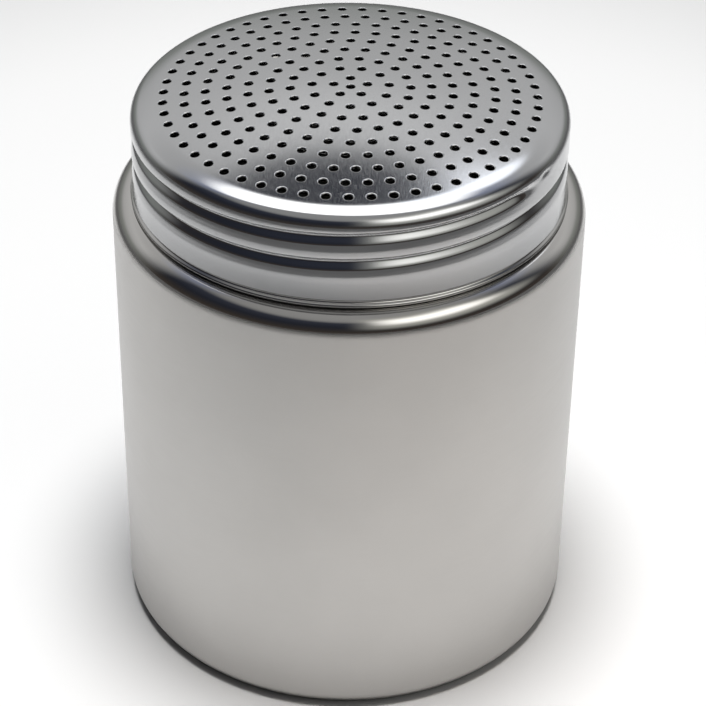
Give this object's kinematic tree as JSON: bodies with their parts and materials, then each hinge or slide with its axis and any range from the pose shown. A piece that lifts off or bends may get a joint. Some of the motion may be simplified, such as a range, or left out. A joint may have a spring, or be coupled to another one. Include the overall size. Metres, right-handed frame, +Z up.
{
  "type": "spice shaker",
  "caption": "Round drawn-steel shaker: straight canister with a rounded shoulder and a domed, finely perforated screw lid.",
  "frame": {"origin": "centre of the flat underside that the shaker stands on", "axes": "+Z up along the axis of the canister and of the screw lid; -Y towards the viewer"},
  "size_m": [0.0698, 0.0698, 0.0889],
  "materials": {
    "canister_steel": "satin wall, polished shoulder",
    "lid_steel": "satin, with bright rolled grooves",
    "hem_steel": "polished"
  },
  "bodies": {
    "canister": {"canister": "canister_steel"},
    "hem": {"lid_hem": "hem_steel"},
    "lid": {"perforated_lid": "lid_steel"}
  },
  "joints": [
    {"name": "lid_lift", "type": "slide", "parent": "canister", "child": "hem", "axis": [0, 0, 1], "range_m": [0, 0.0129]},
    {"name": "lid_turn", "type": "hinge", "parent": "hem", "child": "lid", "pos_m": [0, 0, 0.0736], "axis": [0, 0, 1], "range_deg": [0, 1134]}
  ],
  "couplings": [
    {"joint": "lid_lift", "follows": "lid_turn", "m_per_rad": 0.00064776}
  ]
}
